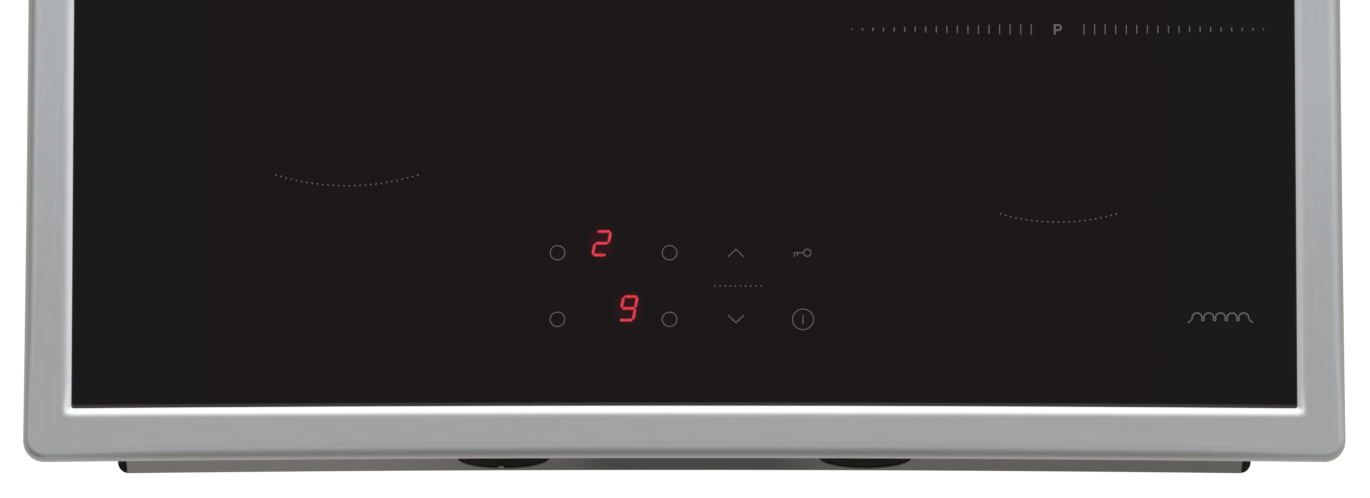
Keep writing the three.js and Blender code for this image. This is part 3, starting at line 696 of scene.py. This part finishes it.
def front_plate():
    """Bowed zinc plate: a slab lofted along the front, with two round openings and a tab."""
    columns = 64
    reach = PLATE_HIGH.x + 0.2 * MM
    bottom, top = 0.1 * MM, PLATE_HIGH.z
    loops = []
    for i in range(columns + 1):
        x = reach * (2 * i / columns - 1)
        near = plate_face(x)
        far = near + PLATE_SHEET
        loops.append([(x, near, bottom), (x, far, bottom), (x, far, top), (x, near, top)])
    mesh = bmesh.new()
    loft(mesh, loops, closed=False)
    piece = keep(mesh, "front_sheet", "galvanised_sheet", smooth_angle=32)
    holes = []
    for vent in VENTS:
        middle = vent_middle(vent)
        middle.y = plate_face(middle.x)
        holes.append(round_bar(middle, VENT_RADIUS, 6 * MM))
    carve(piece, holes)
    soften(piece, 0.22 * MM, 50)
    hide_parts("front_plate")
    vent_tab()


def vent_tab():
    """The tab left standing in the lower edge of the left opening."""
    to_left, to_right = 2.4 * MM, 0.1 * MM
    root, height, gap = 0.5 * MM, 3.8 * MM, 0.1 * MM
    middle = vent_middle(VENTS[0])
    foot = middle.z - VENT_RADIUS
    face = plate_face(middle.x)
    mesh = bmesh.new()
    block(mesh, (middle.x - to_left, face + gap, foot - root),
          (middle.x + to_right, face + PLATE_SHEET - gap, foot + height))
    soften(keep(mesh, "front_sheet_tab", "galvanised_sheet"), 0.2 * MM)


# ---------------------------------------------------------------- side spring clips
CLIP_SHEET = 0.9 * MM
CLIP_ROLL = 2.2 * MM
CLIP_PIVOT_X = 254.8 * MM
CLIP_PIVOT_Z = 13 * MM
# The leaf's line from its pivot, outwards and upwards, in millimetres.
CLIP_LINE = ((0, 0), (8, 8), (20, 17), (26, 24), (22, 31))
CLIP_SHOULDER = 0.8  # share of the line past which the leaf narrows
CLIP_NARROWING = 0.28
CLIP_SLOT_SIZE = Vector((4.5, 3.0, 12)) * MM  # half sizes


def smooth_line(points, steps):
    """Places along a smooth open line through a few points."""
    places = []
    padded = [points[0], *points, points[-1]]
    for i in range(len(points) - 1):
        p0, p1, p2, p3 = (Vector(point) for point in padded[i:i + 4])
        for j in range(steps):
            u = j / steps
            spot = 0.5 * (2 * p1 + (p2 - p0) * u + (2 * p0 - 5 * p1 + 4 * p2 - p3) * u * u
                          + (3 * p1 - 3 * p2 + p3 - p0) * u ** 3)
            places.append(spot)
    places.append(Vector(points[-1]))
    return places


def spring_clip(node, body):
    """A leaf of spring steel rolled round its pivot, with a slot and narrowed shoulders."""
    low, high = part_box(node)
    side = 1 if low.x > 0 else -1
    pivot = Vector((side * CLIP_PIVOT_X, (low.y + high.y) / 2, CLIP_PIVOT_Z))
    half = (high.y - low.y) / 2
    line = smooth_line(CLIP_LINE, 7)
    last = len(line) - 1
    loops = []
    for i, spot in enumerate(line):
        ahead = line[min(i + 1, last)] - line[max(i - 1, 0)]
        normal = Vector((-ahead.y, ahead.x)).normalized() * (CLIP_SHEET / 2)
        past_shoulder = max(0.0, i / last - CLIP_SHOULDER) / (1 - CLIP_SHOULDER)
        width = half * (1 - CLIP_NARROWING * past_shoulder)
        loop = []
        for edge, across in ((-1, -1), (-1, 1), (1, 1), (1, -1)):
            out = spot.x * MM + across * normal.x
            up = spot.y * MM + across * normal.y
            loop.append((pivot.x + side * out, pivot.y + edge * width, pivot.z + up))
        loops.append(loop)
    mesh = bmesh.new()
    loft(mesh, loops, closed=False)
    leaf = keep(mesh, f"{node}_leaf", "spring_steel", body, 40)
    slot = bmesh.new()
    middle = pivot + Vector((side * 14 * MM, 0, 13 * MM))
    block(slot, middle - CLIP_SLOT_SIZE, middle + CLIP_SLOT_SIZE)
    carve(leaf, [slot])
    soften(leaf, 0.2 * MM, 50)
    roll = round_bar(pivot, CLIP_ROLL, half, 28)
    eye = keep(roll, f"{node}_eye", "spring_steel", body, 40)
    soften(eye, 0.3 * MM, 50)
    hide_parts(node)


# ---------------------------------------------------------------- screws and small fittings
RAIL_SCREW = 2.6 * MM  # radii of the heads
TRAY_SCREW = 2.4 * MM


def pan_screw(name, place, axis, sign, radius):
    """Pan-head screw with a cross recess; `axis` and `sign` give the way its head faces."""
    sunk, rim, dome, top = 0.3 * MM, 0.5 * MM, 0.9 * MM, 1.45 * MM
    tip = 0.05 * MM  # radius left at the middle of each end
    flat = 0.55  # share of the radius that the dome leaves flat
    head_steps = 6
    profile = [(tip, -sunk), (radius, -sunk)]
    for i in range(head_steps + 1):
        angle = math.pi / 2 * i / head_steps
        across = radius * (flat + (1 - flat) * math.cos(angle))
        profile.append((across, rim + dome * math.sin(angle)))
    profile.append((tip, top))
    mesh = bmesh.new()
    turned(mesh, [(across, sign * height) for across, height in profile], place, 28, axis)
    screw = keep(mesh, name, "spring_steel", ROOT, 40)
    groove_reach, groove_length, groove_width = 1.0 * MM, 0.55 * radius, 0.13 * radius
    index = "XYZ".index(axis)
    others = [i for i in range(3) if i != index]
    middle = Vector(place)
    middle[index] += sign * 1.6 * MM
    cross = []
    for lengthwise, crosswise in (others, others[::-1]):
        size = Vector()
        size[index] = groove_reach
        size[lengthwise] = groove_length
        size[crosswise] = groove_width
        groove = bmesh.new()
        block(groove, middle - size, middle + size)
        cross.append(groove)
    carve(screw, cross)


def rail_screws():
    """Screws that hold each side rail to the tray."""
    count = 5
    for side_name, side in SIDES.items():
        low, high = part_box(f"side_rail_{side_name}")
        for i in range(count):
            y = low.y + (high.y - low.y) * (i + 0.5) / count
            place = (side * (TRAY_WALL_X + 2.0 * MM), y, low.z + 5.5 * MM)
            pan_screw(f"rail_screw_{side_name}_{i + 1}", place, "X", side, RAIL_SCREW)


def tray_screws():
    """Screws through the tray's floor and back wall."""
    side, half_way = 235 * MM, 120 * MM
    front, rear = -230 * MM, 223 * MM
    floor_recess, back_height = 1.5 * MM, 43 * MM
    spots = ((-side, front), (-side, rear), (side, front), (side, rear), (0, front), (0, rear))
    for i, (x, y) in enumerate(spots):
        pan_screw(f"floor_screw_{i + 1}", (x, y, floor_recess), "Z", -1, TRAY_SCREW)
    for i, x in enumerate((-side, -half_way, 0, half_way, side)):
        pan_screw(f"back_screw_{i + 1}", (x, TRAY_HIGH.y, back_height), "Y", 1, TRAY_SCREW)


def ribs(name, boxes):
    """One piece of moulded ribs with softened edges."""
    mesh = bmesh.new()
    for low, high in boxes:
        block(mesh, low, high)
    soften(keep(mesh, name, "black_plastic"), 0.3 * MM)


def tray_ribs():
    """Moulded ribs: a grid under the floor, and uprights on the back and side walls."""
    half, under, deep = 0.8 * MM, 1.6 * MM, 1.1 * MM
    grid_x = [x * MM for x in (-225, -120, 0, 120, 225)]
    grid_y = [y * MM for y in (-105, -30, 45, 120)]
    boxes = [((x - half, grid_y[0], under - deep), (x + half, grid_y[-1], under)) for x in grid_x]
    boxes += [((grid_x[0] - half, y - half, under - deep), (grid_x[-1] + half, y + half, under))
              for y in grid_y]
    ribs("floor_ribs", boxes)

    half, sunk, proud, foot = 0.9 * MM, 0.2 * MM, 0.9 * MM, 6 * MM
    near, far = TRAY_HIGH.y - sunk, TRAY_HIGH.y + proud
    middles = [(-70 + i * 15.6) * MM for i in range(20)]
    ribs("back_ribs", [((x - half, near, foot), (x + half, far, 37 * MM)) for x in middles])

    middles = [(-112 + i * 21.6) * MM for i in range(11)]
    for side_name, side in SIDES.items():
        near, far = sorted((side * (TRAY_WALL_X - sunk), side * (TRAY_WALL_X + proud)))
        boxes = [((near, y - half, foot), (far, y + half, 31 * MM)) for y in middles]
        ribs(f"side_ribs_{side_name}", boxes)


def cable_gland():
    """Clamp gland at the back: flange, ribbed nut and a soft throat."""
    low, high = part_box("cable_gland")
    middle = (low + high) / 2
    start, stop = low.y, high.y
    outside = TRAY_HIGH.y + 0.3 * MM
    bore, neck, flange, nut, grip = 5.0 * MM, 7.9 * MM, 11 * MM, 12.0 * MM, 10.6 * MM
    profile = [(bore, start), (flange, start), (flange, start + 5 * MM), (neck, start + 5 * MM),
               (neck, outside), (nut, outside), (nut, outside + 3.2 * MM), (grip, outside + 3.6 * MM),
               (grip, outside + 4.4 * MM), (10.2 * MM, stop - 2.4 * MM), (9.0 * MM, stop - 0.6 * MM),
               (7.6 * MM, stop), (bore + 0.8 * MM, stop), (bore, stop - 1.2 * MM)]
    segments = 72
    groove = 0.5 * MM
    loops = []
    for radius, y in profile:
        ribbed = radius > 8.5 * MM and y > outside + 3.8 * MM
        loop = []
        for i in range(segments):
            angle = 2 * math.pi * i / segments
            here = radius - (groove if ribbed and i % 4 < 2 else 0.0)
            loop.append((middle.x + here * math.cos(angle), y, middle.z + here * math.sin(angle)))
        loops.append(loop)
    mesh = bmesh.new()
    loft(mesh, loops)
    gland = keep(mesh, "inlet_gland", "black_plastic", smooth_angle=35)
    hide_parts("cable_gland")


# ---------------------------------------------------------------- printed markings on the glass
def printed(name, shapes, material="printed_grey", rise=PRINT_RISE):
    """One piece of ink from a list of flat shapes, in millimetres."""
    mesh = bmesh.new()
    for shape in shapes:
        points = [(x * MM, y * MM) for x, y in shape]
        prism(mesh, points, PRINT_Z, PRINT_Z + rise)
    keep(mesh, name, material)


def bar(x0, y0, x1, y1, width):
    """A straight stroke with square ends."""
    length = math.hypot(x1 - x0, y1 - y0)
    nx, ny = -(y1 - y0) / length * width / 2, (x1 - x0) / length * width / 2
    return [(x0 + nx, y0 + ny), (x0 - nx, y0 - ny), (x1 - nx, y1 - ny), (x1 + nx, y1 + ny)]


def hoop(x, y, radius, width, steps, start, stop):
    """Part of a ring, as short slices that meet."""
    slices = []
    for i in range(steps):
        a = start + (stop - start) * i / steps
        b = start + (stop - start) * (i + 1) / steps
        outer = arc(x, y, radius + width / 2, a, b, 1)
        inner = arc(x, y, radius - width / 2, b, a, 1)
        slices.append(outer + inner)
    return slices


def ring_print(name, x, y, radius, width):
    """A printed circle as one closed band."""
    mesh = bmesh.new()
    loops = []
    for edge, level in ((-1, 0), (1, 0), (1, 1), (-1, 1)):
        height = PRINT_Z + level * PRINT_RISE
        outline = circle(x, y, radius + edge * width / 2, 48)
        loops.append([(px * MM, py * MM, height) for px, py in outline])
    loft(mesh, loops)
    keep(mesh, name, "printed_grey")


ZONE_MARKS = {
    # zone: centre, radius of the dotted arcs, dots in each arc, ticks on each side of the middle
    "front_left": (-149.2, -29.8, 102.0, 28, 21),
    "front_right": (165.3, -60.4, 88.0, 23, 18),
    "rear_left": (-149.2, 155.0, 70.0, 18, 14),
    "rear_right": (165.3, 127.6, 88.0, 23, 18),
}
DOT_PITCH = 2.36
DOT_RADIUS = 0.33
TICK_PITCH = 4.67
FIRST_TICK = 11.7
SHORTEST_TICK = 0.32  # half lengths
TICK_GROWTH = 2.15


def zone_marks(zone):
    """Two dotted arcs and a scale of ticks that shrink towards its ends."""
    x, y, radius, dots, ticks = ZONE_MARKS[zone]
    shapes = []
    step = math.degrees(DOT_PITCH / radius)
    for side in (-90, 90):
        for i in range(dots):
            angle = math.radians(side + (i - (dots - 1) / 2) * step)
            dot_x, dot_y = x + radius * math.cos(angle), y + radius * math.sin(angle)
            shapes.append(circle(dot_x, dot_y, DOT_RADIUS, 8))
    printed(f"zone_dots_{zone}", shapes)
    shapes = []
    for side in (-1, 1):
        for i in range(ticks):
            tick_x = x + side * (FIRST_TICK + i * TICK_PITCH)
            share = 1 - i / (ticks - 1)
            half = SHORTEST_TICK + TICK_GROWTH * share ** 0.8
            width = 0.36 + 0.1 * (1 - share)
            shapes.append(bar(tick_x, y - half, tick_x, y + half, width))
    printed(f"zone_ticks_{zone}", shapes)
    # A plain stem and bowl in the middle: the full-power mark of the scale.
    stem = [bar(x - 1.3, y - 2.35, x - 1.3, y + 2.35, 0.75)]
    arms = [bar(x - 0.93, y + level, x + 0.3, y + level, 0.7) for level in (2.0, -0.35)]
    bowl = hoop(x + 0.3, y + 0.825, 1.175, 0.7, 10, -90, 90)
    printed(f"zone_mark_{zone}", stem + arms + bowl)


def arrow_shape(x, y, way):
    """An open arrowhead that points to the back (way 1) or to the front (way -1)."""
    half, inset, height = 3.65, 3.4, 1.8
    tip, foot = y + way * height, y - way * height
    return [(x - half, foot), (x - inset, foot - way * 0.22), (x, tip - way * 0.46),
            (x + inset, foot - way * 0.22), (x + half, foot), (x, tip)]


def control_marks():
    """Rings round the zone keys, arrows, a dotted slider, the power sign and the key lock."""
    left, middle, arrow, power, lock = -56.0, -6.5, 22.8, 52.4, 54.3
    rear, front = -162.3, -192.6
    line, thick_line = 0.31, 0.34
    key_radius, power_radius, lock_radius = 3.25, 4.65, 1.62
    for row_name, y in (("rear", rear), ("front", front)):
        ring_print(f"key_ring_{row_name}_left", left, y, key_radius, line)
        ring_print(f"key_ring_{row_name}_right", middle, y, key_radius, line)
    printed("arrow_up", [arrow_shape(arrow, rear, 1)])
    printed("arrow_down", [arrow_shape(arrow, front, -1)])
    slider, slider_row, count, pitch = 23.7, -177.4, 10, 2.26
    start = slider - pitch * (count - 1) / 2
    printed("slider_dots", [circle(start + i * pitch, slider_row, 0.31, 8) for i in range(count)])
    ring_print("power_ring", power, front, power_radius, line)
    printed("power_bar", [bar(power, front - 1.9, power, front + 1.9, thick_line)])
    ring_print("lock_ring", lock, rear, lock_radius, thick_line)
    shaft = bar(lock - 1.98, rear, lock - 5.9, rear, thick_line)
    teeth = [bar(lock - along, rear - 0.2, lock - along, rear - reach, thick_line)
             for along, reach in ((5.7, 1.9), (4.3, 1.5))]
    printed("lock_shaft", [shaft] + teeth)


def coil_sign():
    """A generic coil sign at the front right corner: a spring of upright loops."""
    start, y = 226.3, -191.9
    pitch, loops, stroke = 5.15, 5, 0.5
    loop_radius, link_radius, link_drop = 2.2, 0.56, 0.72
    shapes = []
    for i in range(loops):
        x = start + i * pitch
        shapes += hoop(x, y, loop_radius, stroke, 16, -20, 200)
        if i < loops - 1:
            shapes += hoop(x + pitch / 2, y - link_drop, link_radius, stroke, 8, 180, 360)
    end = start + (loops - 1) * pitch
    for x, side in ((start, -1), (end, 1)):
        shapes.append(bar(x + side * 2.1, y - 0.5, x + side * 4.0, y - 2.3, stroke))
    printed("coil_sign", shapes)


SEGMENTS = {"2": "abged", "9": "abcdfg"}


def lit_digit(name, figure, x, y, thick, rise, material):
    """A leaning seven-segment figure whose bars have pointed ends."""
    half_width, half_height, gap = 3.05, 5.35, 0.16
    lean = math.tan(math.radians(10))
    half = thick / 2
    ends = {
        "a": ((-half_width, half_height), (half_width, half_height)),
        "b": ((half_width, half_height), (half_width, 0)),
        "c": ((half_width, 0), (half_width, -half_height)),
        "d": ((-half_width, -half_height), (half_width, -half_height)),
        "e": ((-half_width, 0), (-half_width, -half_height)),
        "f": ((-half_width, half_height), (-half_width, 0)),
        "g": ((-half_width, 0), (half_width, 0)),
    }
    shapes = []
    for letter in SEGMENTS[figure]:
        (x0, y0), (x1, y1) = ends[letter]
        length = math.hypot(x1 - x0, y1 - y0)
        ux, uy = (x1 - x0) / length, (y1 - y0) / length
        outline = []
        for along, across in ((gap, 0), (gap + half, half), (length - gap - half, half),
                              (length - gap, 0), (length - gap - half, -half), (gap + half, -half)):
            px = x0 + ux * along - uy * across
            py = y0 + uy * along + ux * across
            outline.append((x + px + lean * py, y + py))
        shapes.append(outline)
    printed(name, shapes, material, rise)


def lit_digits():
    """Each figure twice: a dim wide edge, and a bright narrow core that stands a little higher."""
    for word, figure, (x, y) in (("two", "2", LIT_DIGITS[0]), ("nine", "9", LIT_DIGITS[1])):
        lit_digit(f"lit_{word}_edge", figure, x, y, 1.45, 0.03 * MM, "lit_edge")
        lit_digit(f"lit_{word}_core", figure, x, y, 0.72, PRINT_RISE, "lit_core")


# ---------------------------------------------------------------- studio
def floor():
    """White ground that shines, but not beneath the tray, whose slots would let the light in; there it
    is painted dark as a painted shadow.
    """
    reach = 6.0
    z = cad_box[0][2] - 0.1 * MM
    mesh = bmesh.new()
    corners = ((-reach, -reach), (reach, -reach), (reach, reach), (-reach, reach))
    mesh.faces.new([mesh.verts.new((x, y, z)) for x, y in corners])
    data = bpy.data.meshes.new("studio_floor")
    mesh.to_mesh(data)
    mesh.free()
    piece = bpy.data.objects.new("studio_floor", data)
    bpy.context.scene.collection.objects.link(piece)
    shader, place = finish("studio_floor", 0.0, 0.9, Specular_IOR_Level=0.0, Emission_Strength=0.92)
    pale = place.noise(3.0, 2.0).blend((0.29, 0.29, 0.29), (0.31, 0.31, 0.31))
    x, y, _ = place.axes()
    past_tray = (abs(x) - TRAY_HIGH.x).most(abs(y) - TRAY_HIGH.y)
    # Painted shadow: beneath the tray the floor is painted dark and gives almost no light.
    beneath = past_tray.ramp(-6 * MM, -16 * MM)
    feed(shader, "Base Color", beneath.blend(pale, (0.02, 0.02, 0.02)))
    feed(shader, "Emission Color", beneath.blend((1.0, 1.0, 1.0), (0.012, 0.012, 0.012)))
    data.materials.append(FINISHES["studio_floor"])


def studio_sky():
    """Even pale surroundings with a darker ceiling straight above."""
    world = bpy.data.worlds.new("studio")
    bpy.context.scene.world = world
    world.use_nodes = True
    tree = world.node_tree
    direction = Sig(tree, tree.nodes.new("ShaderNodeTexCoord").outputs["Generated"])
    right, back, up = direction.axes()
    left, front = right * -1.0, back * -1.0
    room = 1.1 - left.ramp(0.25, 0.85) * 0.55 - right.ramp(0.25, 0.85) * 0.25
    room = room - front.ramp(0.2, 0.75) * 0.66 + back.ramp(0.45, 0.8) * 0.28
    dark_panel = (back * 0.12 + up * 0.993).ramp(0.930, 0.978)
    light = room * (1.0 - dark_panel * 0.8)
    background = tree.nodes["Background"]
    feed(background, "Strength", light)
    background.inputs["Color"].default_value = (1.0, 1.0, 1.0, 1.0)


def camera():
    """A long lens from in front and high above; its view spans 605 mm at the glass."""
    span = 605.1 * MM
    elevation = math.radians(76)
    distance = 9.8
    aim = Vector((0.3 * MM, -160.6 * MM, GLASS_Z))
    data = bpy.data.cameras.new("camera")
    data.sensor_width = 36.0
    data.lens = data.sensor_width * distance / span
    data.clip_end = 100.0
    lens = bpy.data.objects.new("camera", data)
    bpy.context.scene.collection.objects.link(lens)
    lens.location = aim + distance * Vector((0, -math.cos(elevation), math.sin(elevation)))
    lens.rotation_euler = (math.pi / 2 - elevation, 0, 0)
    bpy.context.scene.camera = lens


camera()
bpy.context.scene.view_settings.view_transform = "Standard"
studio_sky()
floor()
make_finishes()
dress_all()
surround()
for zone_name in ZONES:
    zone_marks(zone_name)
control_marks()
coil_sign()
glass_bead()
front_plate()
for clip_node, clip_body in CLIP_NODES.items():
    spring_clip(clip_node, clip_body)
cable_gland()
rail_screws()
tray_screws()
tray_ribs()
rounded_copy("tray_base", "tray_shell", 0.35 * MM)
lit_digits()
